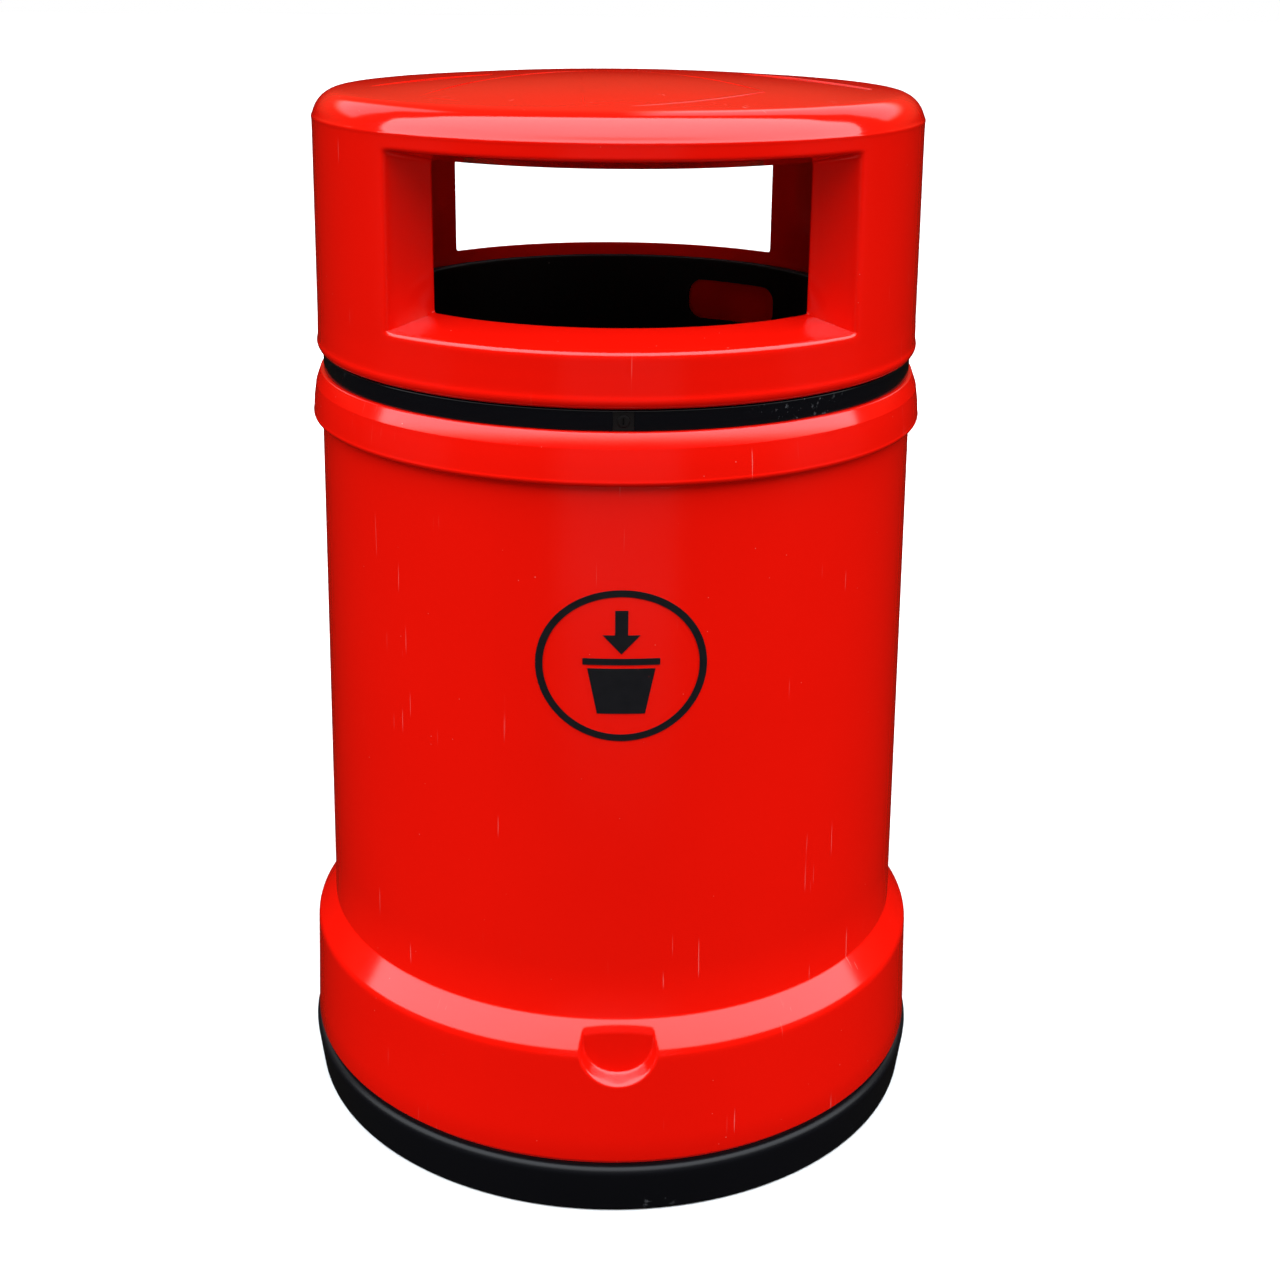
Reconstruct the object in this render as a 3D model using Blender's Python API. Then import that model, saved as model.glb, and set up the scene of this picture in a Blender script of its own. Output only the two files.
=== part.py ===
"""Hooded litter bin: a tall moulded bin whose double-walled hood hinges back off a lift-out liner.

Units are metres and +Z is up. The origin is on the floor at the bin's centre line, and the
front of the bin, with its badge and lock, faces -Y.
"""
import math

import bmesh
import bpy
from mathutils import Matrix, Vector

# ---------------------------------------------------------------- driving dimensions
HEIGHT = 1.000            # floor to the crown of the hood
GAP = 0.0003              # clearance left between pieces that touch
WALL = 0.005              # moulded wall of the hood and the body
ROUND = 40                # facets around the large turned pieces
SMALL = 8                 # facets around screws and pins

# base plinth and the ballast inside it
BASE_R_FLOOR = 0.3055
BASE_R_TOP = 0.3107
BASE_TOP = 0.0490
BASE_FLOOR = 0.0160
BASE_EDGE = 0.0070
BASE_WELL_R = 0.2960
BALLAST_R = 0.2950

# body: floor, skirt, ledge, wall and collar in one moulding
BODY_FLOOR_TOP = 0.0543
SKIRT_BOTTOM = 0.0544
SKIRT_R_BOTTOM = 0.3080
SKIRT_R_TOP = 0.3046
SKIRT_TOP = 0.1590
LEDGE_EDGE = 0.0145
LEDGE_LEAN = 34.3         # degrees the ledge's face is turned up from level
LEDGE_TOP = 0.1905
BODY_SEAT_R = 0.3015
BODY_R_BOTTOM = 0.2858
BODY_R_TOP = 0.2804
COLLAR_BOTTOM = 0.6872
COLLAR_R_BOTTOM = 0.2886
COLLAR_R_TOP = 0.2849
COLLAR_TOP = 0.7327
COLLAR_EDGE = 0.0045
COLLAR_SLOPE = 0.0082     # height of the sloping face round the collar's top
FLANGE_R = 0.2700
NOTCH_DEPTH_Y = -0.2920
NOTCH_R_BACK = 0.0285
NOTCH_R_FRONT = 0.0340
NOTCH_CENTRE_Z = 0.1655

# neck ring between the body and the hood
NECK_R = 0.2780
NECK_TOP = 0.7503
NECK_UPSTAND_R = 0.2730
NECK_INNER_R = 0.2690
NECK_UPSTAND_TOP = 0.7720
NECK_SCREW_CIRCLE = 0.2738

# hood
HOOD_BOTTOM = 0.7506
HOOD_R_BOTTOM = 0.2835
HOOD_R_TOP = 0.2805
HOOD_PARTING = 0.9593
SHOULDER = 0.0278
CHAMBER_R = 0.2320
INNER_SKIRT_BOTTOM = 0.7220
CHANNEL_ROOF = 0.7880
CAVITY_R = 0.2745
CAVITY_TOP = 0.9680
APERTURE_HALF_ANGLE = 44.2
JAMB_ANGLE = 1.3          # degrees of wall beside each aperture
SILL_INNER_Z = 0.8098
SILL_SLOPE = -0.28
LINTEL_INNER_Z = 0.9391
LINTEL_SLOPE = 0.235

# liner
LINER_TOP = 0.7980
LINER_BOTTOM = 0.0548
LINER_R_TOP = 0.2180
LINER_R_BOTTOM = 0.2000
LINER_RIM_R = 0.2260
LINER_WALL = 0.0030
HAND_HOLE_TURN = 36.0
HAND_HOLE_Z = 0.7556
HAND_HOLE_SIZE = (0.104, 0.041)
HAND_HOLE_ROUND = 0.015

# rear hinge
HINGE_Y = 0.2920
HINGE_Z = 0.7420
KNUCKLE_R = 0.0060
HINGE_HALF = 0.0300
KNUCKLE_HALF = 0.0120
HOOD_SEAT_Y = 0.2800
HOOD_PLATE_Y = 0.2850
COLLAR_SEAT_Y = 0.2855
BODY_PLATE_Y = 0.2900
PIN_R = 0.0025

# front lock
LOCK_Z = 0.7412
LOCK_HALF = 0.0087
LOCK_BACK_Y = -0.2600
PLUG_R = 0.0050
SPINDLE_R = 0.0030
CAM_REACH = 0.0220
CAM_HALF = 0.0045
KEEPER_THICK = 0.0028

# base bolts, washers and nuts
BOLT_CIRCLE = 0.2350
BOLT_R = 0.0040
BOLT_HEAD_R = 0.0070
BOLT_HEAD_LOW = 0.0015
BOLT_HEAD_TOP = 0.0070
BOLT_RECESS_R = 0.0110
BOLT_END = 0.0665
WASHER_R = 0.0100
WASHER_THICK = 0.0016
NUT_R = 0.0072
NUT_HEIGHT = 0.0065

# badge on the front of the body
BADGE_Z = 0.5287
BADGE_HALF = (0.0740, 0.0682)
BADGE_LINE = 0.0060
BADGE_THICK = 0.0006


# ---------------------------------------------------------------- helpers
def clear_scene():
    for item in list(bpy.data.objects):
        bpy.data.objects.remove(item, do_unlink=True)


def plastic(name, colour, roughness, metallic=0.0):
    """A Principled material with one colour."""
    made = bpy.data.materials.new(name)
    made.use_nodes = True
    shader = made.node_tree.nodes["Principled BSDF"]
    shader.inputs["Base Color"].default_value = (*colour, 1.0)
    shader.inputs["Roughness"].default_value = roughness
    shader.inputs["Metallic"].default_value = metallic
    return made


def add_piece(name, bm, finish=None, pivot=None):
    """Turn a bmesh into a named object; without a finish it is a cutter."""
    bmesh.ops.recalc_face_normals(bm, faces=bm.faces)
    if bm.calc_volume(signed=True) < 0:
        bmesh.ops.reverse_faces(bm, faces=bm.faces)
    mesh = bpy.data.meshes.new(name)
    bm.to_mesh(mesh)
    bm.free()
    mesh.shade_smooth()
    mesh.set_sharp_from_angle(angle=math.radians(32))
    piece = bpy.data.objects.new(name, mesh)
    bpy.context.scene.collection.objects.link(piece)
    if finish is None:
        piece.hide_render = True
        piece.display_type = "WIRE"
    else:
        mesh.materials.append(finish)
    if pivot is not None:
        piece.parent = pivot
        piece.matrix_parent_inverse = Matrix.Translation(-pivot.location)
    return piece


def add_pivot(name, location):
    """An empty on a joint's axis, which carries the pieces that move about it."""
    pivot = bpy.data.objects.new(name, None)
    pivot.location = location
    pivot.empty_display_size = 0.05
    bpy.context.scene.collection.objects.link(pivot)
    return pivot


def combine(piece, tool, operation="DIFFERENCE"):
    boolean = piece.modifiers.new(operation.lower(), "BOOLEAN")
    boolean.solver = "EXACT"
    boolean.operation = operation
    boolean.object = tool


def arc(centre, radius, start, end, steps):
    """Points along an arc in a profile's (radius, height) plane; angles in degrees from +X."""
    points = []
    for step in range(steps + 1):
        angle = math.radians(start + (end - start) * step / steps)
        points.append((centre[0] + radius * math.cos(angle), centre[1] + radius * math.sin(angle)))
    return points


def turned(outline, facets=ROUND):
    """Spin a closed (radius, height) outline once about Z."""
    bm = bmesh.new()
    ring = [bm.verts.new((radius, 0.0, height)) for radius, height in outline]
    edges = [bm.edges.new((a, b)) for a, b in zip(ring, ring[1:] + ring[:1])]
    bmesh.ops.spin(bm, geom=ring + edges, cent=(0, 0, 0), axis=(0, 0, 1),
                   angle=math.tau, steps=facets, use_merge=True)
    bmesh.ops.remove_doubles(bm, verts=bm.verts, dist=1e-6)
    bmesh.ops.dissolve_degenerate(bm, edges=bm.edges, dist=1e-6)
    loose = [edge for edge in bm.edges if edge.is_wire]
    bmesh.ops.delete(bm, geom=loose, context="EDGES")
    return bm


def sector(inner, outer, half_angle, turn, steps=10):
    """A block swept about Z: inner and outer are (radius, low, high), centred on -Y plus turn."""
    bm = bmesh.new()
    corners = [(inner[0], inner[1]), (outer[0], outer[1]), (outer[0], outer[2]), (inner[0], inner[2])]
    ring = [bm.verts.new((radius, 0.0, height)) for radius, height in corners]
    edges = [bm.edges.new((a, b)) for a, b in zip(ring, ring[1:] + ring[:1])]
    start = Matrix.Rotation(math.radians(turn - 90 - half_angle), 4, "Z")
    bmesh.ops.transform(bm, matrix=start, verts=ring)
    bmesh.ops.spin(bm, geom=ring + edges, cent=(0, 0, 0), axis=(0, 0, 1),
                   angle=math.radians(2 * half_angle), steps=steps)
    open_edges = [edge for edge in bm.edges if edge.is_boundary]
    bmesh.ops.holes_fill(bm, edges=open_edges, sides=4)
    return bm


def box(low, high):
    bm = bmesh.new()
    bmesh.ops.create_cube(bm, size=1.0)
    size = Vector(high) - Vector(low)
    middle = (Vector(high) + Vector(low)) / 2
    bmesh.ops.transform(bm, matrix=Matrix.Translation(middle) @ Matrix.Diagonal((*size, 1)), verts=bm.verts)
    return bm


def extruded(outline, low, high, axis="X"):
    """A prism along X or Y, from low to high; its flat outline is given in the plane across it."""
    bm = bmesh.new()
    if axis == "X":
        ring = [bm.verts.new((low, a, b)) for a, b in outline]
        travel = Vector((high - low, 0, 0))
    else:
        ring = [bm.verts.new((a, low, b)) for a, b in outline]
        travel = Vector((0, high - low, 0))
    face = bm.faces.new(ring)
    grown = bmesh.ops.extrude_face_region(bm, geom=[face])
    moved = [item for item in grown["geom"] if isinstance(item, bmesh.types.BMVert)]
    bmesh.ops.translate(bm, vec=travel, verts=moved)
    return bm


def rod(stations, facets=SMALL):
    """A stepped round bar along +Z from (radius, height) stations."""
    outline = [(0.0, stations[0][1])] + stations + [(0.0, stations[-1][1])]
    return turned(outline, facets)


def aimed(bm, place, towards):
    """Turn a bar made along +Z to point towards a direction, and put its zero at place."""
    turn = Vector((0, 0, 1)).rotation_difference(Vector(towards)).to_matrix().to_4x4()
    bmesh.ops.transform(bm, matrix=Matrix.Translation(place) @ turn, verts=bm.verts)
    return bm


def screw(head_r, head_h, shank_r, length):
    """A pan-head screw: the head's underside is at zero and the shank runs along +Z."""
    return rod([(head_r * 0.6, -head_h), (head_r, -head_h * 0.45), (head_r, 0.0),
                (shank_r, 0.0), (shank_r, length)])


def around(radius, turn, height):
    """A point at an angle from the front, in degrees, turning towards +X."""
    angle = math.radians(turn - 90)
    return Vector((radius * math.cos(angle), radius * math.sin(angle), height))


# ---------------------------------------------------------------- base
def make_base(black, concrete):
    outline = [(0, 0), (BASE_R_FLOOR - 0.003, 0), (BASE_R_FLOOR, 0.003)]
    outline += arc((BASE_R_TOP - BASE_EDGE, BASE_TOP - BASE_EDGE), BASE_EDGE, 0, 90, 3)
    outline += [(BASE_WELL_R, BASE_TOP), (BASE_WELL_R, BASE_FLOOR), (0, BASE_FLOOR)]
    base = add_piece("base_plinth", turned(outline), black)
    low, high = BASE_FLOOR + GAP, BASE_TOP - GAP
    ballast = turned([(0, low), (BALLAST_R, low), (BALLAST_R, high), (0, high)])
    return base, add_piece("ballast_slab", ballast, concrete)


def washer_ring(bore, outer, thickness, facets):
    """A flat ring standing on zero."""
    return turned([(bore, 0), (outer, 0), (outer, thickness), (bore, thickness)], facets)


def make_bolts(steel, base, ballast, body):
    """Four bolts up from recesses under the base, through the ballast, to nuts on the body's floor."""
    for index in range(4):
        place = around(BOLT_CIRCLE, 45 + 90 * index, 0)
        bore = rod([(BOLT_R + 0.0004, -0.01), (BOLT_R + 0.0004, BOLT_END + 0.01)])
        bore = add_piece(f"bolt_bore_{index + 1}", aimed(bore, place, (0, 0, 1)))
        recess = rod([(BOLT_RECESS_R, -0.01), (BOLT_RECESS_R, BOLT_HEAD_TOP + GAP)])
        recess = add_piece(f"bolt_recess_{index + 1}", aimed(recess, place, (0, 0, 1)))
        for pierced in (base, ballast, body):
            combine(pierced, bore)
        combine(base, recess)
        bolt = rod([(BOLT_HEAD_R, BOLT_HEAD_LOW), (BOLT_HEAD_R, BOLT_HEAD_TOP),
                    (BOLT_R, BOLT_HEAD_TOP), (BOLT_R, BOLT_END)])
        add_piece(f"base_bolt_{index + 1}", aimed(bolt, place, (0, 0, 1)), steel)
        washer_low = BODY_FLOOR_TOP + GAP
        washer = washer_ring(BOLT_R + GAP, WASHER_R, WASHER_THICK, SMALL)
        washer = aimed(washer, place + Vector((0, 0, washer_low)), (0, 0, 1))
        add_piece(f"base_washer_{index + 1}", washer, steel)
        nut_low = washer_low + WASHER_THICK + GAP
        nut = washer_ring(BOLT_R + 2 * GAP, NUT_R, NUT_HEIGHT, 6)
        nut = aimed(nut, place + Vector((0, 0, nut_low)), (0, 0, 1))
        thread = aimed(rod([(BOLT_R + GAP, 0.05), (BOLT_R + GAP, 0.07)]), place, (0, 0, 1))
        thread = add_piece(f"nut_bore_{index + 1}", thread)
        combine(add_piece(f"base_nut_{index + 1}", nut, steel), thread)


# ---------------------------------------------------------------- body
def notch_outline(radius):
    """A U with its round end down, tall enough to run out through the ledge."""
    return arc((0, NOTCH_CENTRE_Z), radius, -180, 0, 10) + [(radius, 0.21), (-radius, 0.21)]


def notch_cutter():
    """The U-shaped pocket in the skirt, with drafted sides and a flat back."""
    bm = bmesh.new()
    back = [bm.verts.new((x, NOTCH_DEPTH_Y, z)) for x, z in notch_outline(NOTCH_R_BACK)]
    front = [bm.verts.new((x, -0.315, z)) for x, z in notch_outline(NOTCH_R_FRONT + 0.003)]
    bm.faces.new(back)
    bm.faces.new(front[::-1])
    for index in range(len(back)):
        following = (index + 1) % len(back)
        bm.faces.new((back[index], front[index], front[following], back[following]))
    return bm


def make_body(red):
    outline = [(0, BASE_TOP + GAP), (BODY_SEAT_R, BASE_TOP + GAP), (BODY_SEAT_R, SKIRT_BOTTOM),
               (SKIRT_R_BOTTOM - 0.002, SKIRT_BOTTOM), (SKIRT_R_BOTTOM, SKIRT_BOTTOM + 0.002)]
    outline += arc((SKIRT_R_TOP - LEDGE_EDGE, SKIRT_TOP), LEDGE_EDGE, 0, LEDGE_LEAN, 3)
    outline += [(BODY_R_BOTTOM, LEDGE_TOP), (BODY_R_TOP, COLLAR_BOTTOM)]
    outline += arc((COLLAR_R_BOTTOM - 0.0044, COLLAR_BOTTOM + 0.0110), 0.0044, -80, 0, 2)
    edge_height = COLLAR_TOP - COLLAR_SLOPE
    outline += arc((COLLAR_R_TOP - COLLAR_EDGE, edge_height), COLLAR_EDGE, 0, 48, 2)
    outline += [(NECK_R, COLLAR_TOP), (0, COLLAR_TOP)]
    body = add_piece("body_shell", turned(outline), red)

    hollow = [(0, BODY_FLOOR_TOP), (BODY_SEAT_R - 0.012, BODY_FLOOR_TOP),
              (SKIRT_R_BOTTOM - WALL - 0.0002, SKIRT_BOTTOM + 0.008),
              (SKIRT_R_TOP - WALL, SKIRT_TOP - 0.003), (SKIRT_R_TOP - WALL - 0.008, SKIRT_TOP + 0.008),
              (BODY_R_BOTTOM - WALL, LEDGE_TOP - 0.003), (BODY_R_TOP - WALL, COLLAR_BOTTOM + 0.001),
              (COLLAR_R_BOTTOM - WALL, COLLAR_BOTTOM + 0.013), (COLLAR_R_TOP - WALL, edge_height),
              (NECK_R + 0.0007, COLLAR_TOP - WALL), (FLANGE_R, COLLAR_TOP - WALL),
              (FLANGE_R, COLLAR_TOP + 0.01), (0, COLLAR_TOP + 0.01)]
    hollow = add_piece("body_hollow", turned(hollow))
    boss = notch_outline(NOTCH_R_FRONT + WALL)
    boss = extruded(boss, NOTCH_DEPTH_Y - 0.03, NOTCH_DEPTH_Y + WALL, "Y")
    combine(hollow, add_piece("notch_boss", boss))
    rear = box((-HINGE_HALF - 0.004, 0.2720, 0.6900), (HINGE_HALF + 0.004, 0.3000, 0.7400))
    combine(hollow, add_piece("hinge_boss", rear))
    combine(body, hollow)
    combine(body, add_piece("notch_pocket", notch_cutter()))
    seat = box((-HINGE_HALF - 0.001, COLLAR_SEAT_Y, 0.680), (HINGE_HALF + 0.001, 0.32, 0.740))
    combine(body, add_piece("collar_hinge_seat", seat))
    return body


def make_neck(black, steel, body):
    outline = [(NECK_R, COLLAR_TOP + GAP), (NECK_R, NECK_TOP - 0.001), (NECK_R - 0.001, NECK_TOP),
               (NECK_UPSTAND_R, NECK_TOP), (NECK_UPSTAND_R, NECK_UPSTAND_TOP),
               (NECK_INNER_R, NECK_UPSTAND_TOP), (NECK_INNER_R, COLLAR_TOP + GAP)]
    neck = add_piece("neck_ring", turned(outline), black)
    for index in range(6):
        place = around(NECK_SCREW_CIRCLE, 30 + 60 * index, COLLAR_TOP - WALL - GAP)
        pilot = aimed(rod([(0.0023, -0.001), (0.0023, 0.0190)]), place, (0, 0, 1))
        pilot = add_piece(f"neck_pilot_{index + 1}", pilot)
        combine(body, pilot)
        combine(neck, pilot)
        fixing = aimed(screw(0.0036, 0.0024, 0.0019, 0.0175), place, (0, 0, 1))
        add_piece(f"neck_screw_{index + 1}", fixing, steel)
    return neck


# ---------------------------------------------------------------- hood
def sill_z(radius):
    return SILL_INNER_Z + (radius - CHAMBER_R) * SILL_SLOPE


def lintel_z(radius):
    return LINTEL_INNER_Z + (radius - CHAMBER_R) * LINTEL_SLOPE


def hood_outline():
    """Outer skin, ceiling, inner skirt and the open channel between the two walls."""
    lip = 0.0066
    points = arc((HOOD_R_BOTTOM - lip, HOOD_BOTTOM + lip), lip, -85, 0, 3)
    points += [(HOOD_R_BOTTOM, HOOD_BOTTOM + 0.0172), (HOOD_R_BOTTOM - 0.0014, HOOD_BOTTOM + 0.0304)]
    points += arc((HOOD_R_TOP - SHOULDER, HOOD_PARTING), SHOULDER, 0, 80, 5)
    points += [(0.1655, HEIGHT - 0.0051), (0.0828, HEIGHT - 0.0013), (0, HEIGHT)]
    points += [(0, HEIGHT - 0.0055), (0.1500, HEIGHT - 0.0105), (0.2180, HEIGHT - 0.0190)]
    points += [(CHAMBER_R, HEIGHT - 0.0300), (CHAMBER_R, INNER_SKIRT_BOTTOM)]
    points += [(CHAMBER_R + WALL, INNER_SKIRT_BOTTOM), (CHAMBER_R + WALL, CHANNEL_ROOF)]
    points += [(CAVITY_R + 0.002, CHANNEL_ROOF), (CAVITY_R + 0.002, HOOD_BOTTOM + 0.004)]
    return points


def make_hood(red, pivot):
    hood = add_piece("hood_shell", turned(hood_outline()), red, pivot)
    inner = CHAMBER_R + WALL + 0.0004
    floor = CHANNEL_ROOF - 0.008
    ring = [(inner, floor), (CAVITY_R, floor), (CAVITY_R, CAVITY_TOP), (inner, CAVITY_TOP)]
    cavity = add_piece("hood_cavity", turned(ring))
    low = CHANNEL_ROOF - 0.02
    for side, turn in (("front", 0), ("rear", 180)):
        near, far = 0.2250, 0.2850
        frame = sector((near, low, lintel_z(near) + WALL), (far, low, lintel_z(far) + WALL),
                       APERTURE_HALF_ANGLE + JAMB_ANGLE, turn)
        combine(cavity, add_piece(f"{side}_aperture_frame", frame))
        near, far = 0.1900, 0.3000
        tunnel = sector((near, sill_z(near), lintel_z(near)), (far, sill_z(far), lintel_z(far)),
                        APERTURE_HALF_ANGLE, turn)
        combine(hood, add_piece(f"{side}_aperture", tunnel))
    combine(hood, cavity)
    seat = box((-HINGE_HALF - 0.001, HOOD_SEAT_Y, 0.740), (HINGE_HALF + 0.001, 0.32, 0.792))
    combine(hood, add_piece("hood_hinge_seat", seat))
    return hood


# ---------------------------------------------------------------- liner
def make_liner(black, pivot):
    wall = LINER_WALL
    outline = [(0, LINER_BOTTOM + 0.004), (0.178, LINER_BOTTOM + 0.004), (0.182, LINER_BOTTOM),
               (0.196, LINER_BOTTOM), (LINER_R_BOTTOM, LINER_BOTTOM + 0.005),
               (LINER_R_TOP, LINER_TOP - 0.010), (LINER_RIM_R - 0.002, LINER_TOP - 0.0085),
               (LINER_RIM_R, LINER_TOP - 0.006), (LINER_RIM_R, LINER_TOP - 0.002),
               (LINER_RIM_R - 0.002, LINER_TOP), (LINER_R_TOP - wall + 0.001, LINER_TOP),
               (LINER_R_TOP - wall, LINER_TOP - 0.002), (LINER_R_TOP - wall, LINER_TOP - 0.010),
               (LINER_R_BOTTOM - wall, LINER_BOTTOM + 0.010), (0.193, LINER_BOTTOM + 0.007),
               (0, LINER_BOTTOM + 0.007)]
    liner = add_piece("inner_liner", turned(outline), black, pivot)
    width, height = HAND_HOLE_SIZE
    corners = [(1, 1, 0), (-1, 1, 90), (-1, -1, 180), (1, -1, 270)]
    hole = []
    for along, up, start in corners:
        centre = (along * (width / 2 - HAND_HOLE_ROUND), up * (height / 2 - HAND_HOLE_ROUND))
        hole += arc(centre, HAND_HOLE_ROUND, start, start + 90, 3)
    for index, turn in enumerate((180 - HAND_HOLE_TURN, -HAND_HOLE_TURN)):
        cutter = extruded(hole, -0.26, -0.15, "Y")
        place = Matrix.Rotation(math.radians(turn), 4, "Z") @ Matrix.Translation((0, 0, HAND_HOLE_Z))
        bmesh.ops.transform(cutter, matrix=place, verts=cutter.verts)
        combine(liner, add_piece(f"hand_hole_{index + 1}", cutter))
    return liner


# ---------------------------------------------------------------- hinge
def make_hinge(steel, body, hood, pivot):
    axis = (HINGE_Y, HINGE_Z)
    back = COLLAR_SEAT_Y + GAP
    low_plate = [(back, 0.6960), (BODY_PLATE_Y, 0.6960), (BODY_PLATE_Y, 0.7270)]
    low_arm = low_plate + arc(axis, KNUCKLE_R, -15, 180, 10) + [(back, 0.7360)]
    bracket = extruded(low_plate + [(back, 0.7270)], -HINGE_HALF, HINGE_HALF)
    lower = add_piece("hinge_body_bracket", bracket, steel)
    for side, start in (("left", -HINGE_HALF), ("right", KNUCKLE_HALF + 0.0004)):
        arm = extruded(low_arm, start, start + HINGE_HALF - KNUCKLE_HALF - 0.0004)
        combine(lower, add_piece(f"lower_knuckle_{side}", arm), "UNION")

    back = HOOD_SEAT_Y + GAP
    plate = box((-HINGE_HALF, back, 0.7540), (HINGE_HALF, HOOD_PLATE_Y, 0.7890))
    upper = add_piece("hinge_hood_bracket", plate, steel, pivot)
    arm = [(back, 0.7640), (back, 0.7530)] + arc(axis, KNUCKLE_R, 195, 380, 10) + [(HOOD_PLATE_Y, 0.7600)]
    combine(upper, add_piece("upper_knuckle", extruded(arm, -KNUCKLE_HALF, KNUCKLE_HALF)), "UNION")

    bore = aimed(rod([(PIN_R + 0.00025, -0.05), (PIN_R + 0.00025, 0.05)], 16), (0, *axis), (1, 0, 0))
    bore = add_piece("hinge_bore", bore)
    combine(lower, bore)
    combine(upper, bore)
    seat = -HINGE_HALF - GAP
    pin = rod([(0.0042, seat - 0.0022), (0.0042, seat), (PIN_R, seat), (PIN_R, HINGE_HALF + 0.002)], 16)
    add_piece("hinge_pin", aimed(pin, (0, *axis), (1, 0, 0)), steel)

    rows = (("hood", HOOD_PLATE_Y, (0.7640, 0.7800), (upper, hood), pivot),
            ("body", BODY_PLATE_Y, (0.7030, 0.7200), (lower, body), None))
    for label, face, heights, pierced, carrier in rows:
        spots = [(x, z) for z in heights for x in (-0.022, 0.022)]
        for index, (x, z) in enumerate(spots):
            place = (x, face + GAP, z)
            pilot = rod([(0.0019, -0.002), (0.0019, 0.0135)])
            pilot = add_piece(f"{label}_hinge_pilot_{index + 1}", aimed(pilot, place, (0, -1, 0)))
            for piece in pierced:
                combine(piece, pilot)
            fixing = aimed(screw(0.0034, 0.0022, 0.0016, 0.0128), place, (0, -1, 0))
            add_piece(f"hinge_{label}_screw_{index + 1}", fixing, steel, carrier)


# ---------------------------------------------------------------- lock
def make_lock(black, steel, neck, hood, hood_pivot, lock_pivot):
    window = box((-LOCK_HALF - GAP, -0.30, COLLAR_TOP - 0.01), (LOCK_HALF + GAP, -0.25, 0.7494))
    combine(neck, add_piece("lock_window", window))
    low, high = COLLAR_TOP + 0.0007, 0.7491
    housing = box((-LOCK_HALF, -0.2778, low), (LOCK_HALF, LOCK_BACK_Y, high))
    housing = add_piece("lock_housing", housing, black)
    wings = box((-0.0165, -0.2670, low + 0.001), (0.0165, -0.2640, high - 0.001))
    combine(housing, add_piece("lock_wings", wings), "UNION")
    bore = aimed(rod([(PLUG_R + GAP, -0.30), (PLUG_R + GAP, -0.25)], 20), (0, 0, LOCK_Z), (0, 1, 0))
    combine(housing, add_piece("lock_bore", bore))
    for index, x in enumerate((-0.0128, 0.0128)):
        place = (x, -0.2637, LOCK_Z)
        pilot = aimed(rod([(0.0015, -0.001), (0.0015, 0.0098)]), place, (0, -1, 0))
        pilot = add_piece(f"lock_pilot_{index + 1}", pilot)
        combine(housing, pilot)
        combine(neck, pilot)
        fixing = aimed(screw(0.0026, 0.0018, 0.0012, 0.0090), place, (0, -1, 0))
        add_piece(f"lock_screw_{index + 1}", fixing, steel)

    plug = rod([(PLUG_R - 0.0006, -0.2783), (PLUG_R, -0.2777), (PLUG_R, LOCK_BACK_Y),
                (SPINDLE_R, LOCK_BACK_Y), (SPINDLE_R, -0.2515)], 20)
    plug = add_piece("lock_plug", aimed(plug, (0, 0, LOCK_Z), (0, 1, 0)), steel, lock_pivot)
    slot = box((-0.0007, -0.2800, LOCK_Z - 0.0030), (0.0007, -0.2750, LOCK_Z + 0.0030))
    combine(plug, add_piece("key_slot", slot))
    arm = arc((0, LOCK_Z), 0.0062, 150, 390, 8)
    arm += [(CAM_HALF, LOCK_Z + CAM_REACH - 0.002), (CAM_HALF - 0.002, LOCK_Z + CAM_REACH),
            (-CAM_HALF + 0.002, LOCK_Z + CAM_REACH), (-CAM_HALF, LOCK_Z + CAM_REACH - 0.002)]
    cam = add_piece("lock_cam", extruded(arm, LOCK_BACK_Y + GAP, -0.2572, "Y"), steel, lock_pivot)
    nut = aimed(rod([(0.0058, -0.2569), (0.0058, -0.2530)], 6), (0, 0, LOCK_Z), (0, 1, 0))
    nut = add_piece("lock_nut", nut, steel, lock_pivot)
    spindle_bore = rod([(SPINDLE_R + GAP, -0.262), (SPINDLE_R + GAP, -0.245)], 20)
    spindle_bore = add_piece("spindle_bore", aimed(spindle_bore, (0, 0, LOCK_Z), (0, 1, 0)))
    combine(cam, spindle_bore)
    combine(nut, spindle_bore)

    roof = CHANNEL_ROOF - GAP
    hook = [(-0.2600, 0.7285), (-0.2475, 0.7285), (-0.2475, roof), (-0.2500, roof),
            (-0.2500, 0.7345), (-0.2600, 0.7345)]
    keeper = add_piece("lock_keeper", extruded(hook, 0.0105, 0.0235), steel, hood_pivot)
    foot = box((0.0030, -0.2670, roof - KEEPER_THICK), (0.0310, -0.2480, roof))
    combine(keeper, add_piece("keeper_foot", foot), "UNION")
    for index, x in enumerate((0.0068, 0.0272)):
        place = (x, -0.2600, roof - KEEPER_THICK - GAP)
        pilot = aimed(rod([(0.0019, -0.001), (0.0019, 0.0105)]), place, (0, 0, 1))
        pilot = add_piece(f"keeper_pilot_{index + 1}", pilot)
        combine(keeper, pilot)
        combine(hood, pilot)
        fixing = aimed(screw(0.0032, 0.0020, 0.0016, 0.0098), place, (0, 0, 1))
        add_piece(f"keeper_screw_{index + 1}", fixing, steel, hood_pivot)


# ---------------------------------------------------------------- badge
def body_radius(height):
    """Outer radius of the plain body wall at a height."""
    share = (height - LEDGE_TOP) / (COLLAR_BOTTOM - LEDGE_TOP)
    return BODY_R_BOTTOM + (BODY_R_TOP - BODY_R_BOTTOM) * share


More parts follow.
